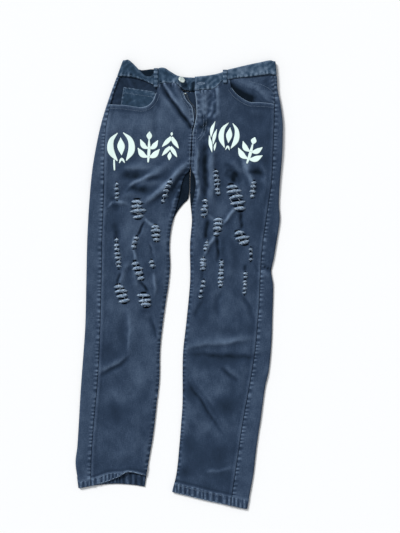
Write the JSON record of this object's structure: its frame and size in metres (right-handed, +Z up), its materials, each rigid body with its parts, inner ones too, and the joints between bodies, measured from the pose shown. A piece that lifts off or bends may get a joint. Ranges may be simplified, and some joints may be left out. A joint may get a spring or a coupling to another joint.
{
  "type": "ripped jeans",
  "caption": "Slim five-pocket denim jeans with laddered rips, laid flat front up with the fly undone, for dressing a bed, shelf or floor.",
  "frame": {"origin": "on the surface the garment lies on, under the middle of its outline", "axes": "+X across the garment to its left leg, +Y along it from the hems to the waist, +Z up out of its front"},
  "size_m": [0.4968, 1.0743, 0.0216],
  "materials": {
    "denim": "faded black-blue denim twill, matt, paler on folds and seam edges",
    "worn_denim": "the same denim worn paler over its turned edges",
    "print": "pale mint-white rubbery screen print, slightly raised",
    "thread": "matt sewing thread close to the denim in tone",
    "zip_tape": "dark woven tape",
    "zip_metal": "dull grey zip metal",
    "pale_metal": "pale plated metal, softly shiny"
  },
  "bodies": {
    "root": {"front_panel_right": "denim", "front_panel_left": "denim", "back_panel_right": "denim", "back_panel_left": "denim", "yoke_right": "denim", "yoke_left": "denim", "waistband": "worn_denim", "pocket_bearer_right": "denim", "pocket_bearer_left": "denim", "coin_pocket": "worn_denim", "back_pocket_right": "denim", "back_pocket_left": "denim", "fly_shield": "denim", "zip_tape_right": "zip_tape", "zip_tape_left": "zip_tape", "zip_top_stop": "pale_metal", "zip_slider": "zip_metal", "zip_tab": "zip_metal", "belt_loop_front_right": "worn_denim", "belt_loop_front_left": "worn_denim", "belt_loop_side_right": "worn_denim", "belt_loop_back": "worn_denim", "belt_loop_side_left": "worn_denim", "button": "pale_metal"}
  },
  "joints": []
}
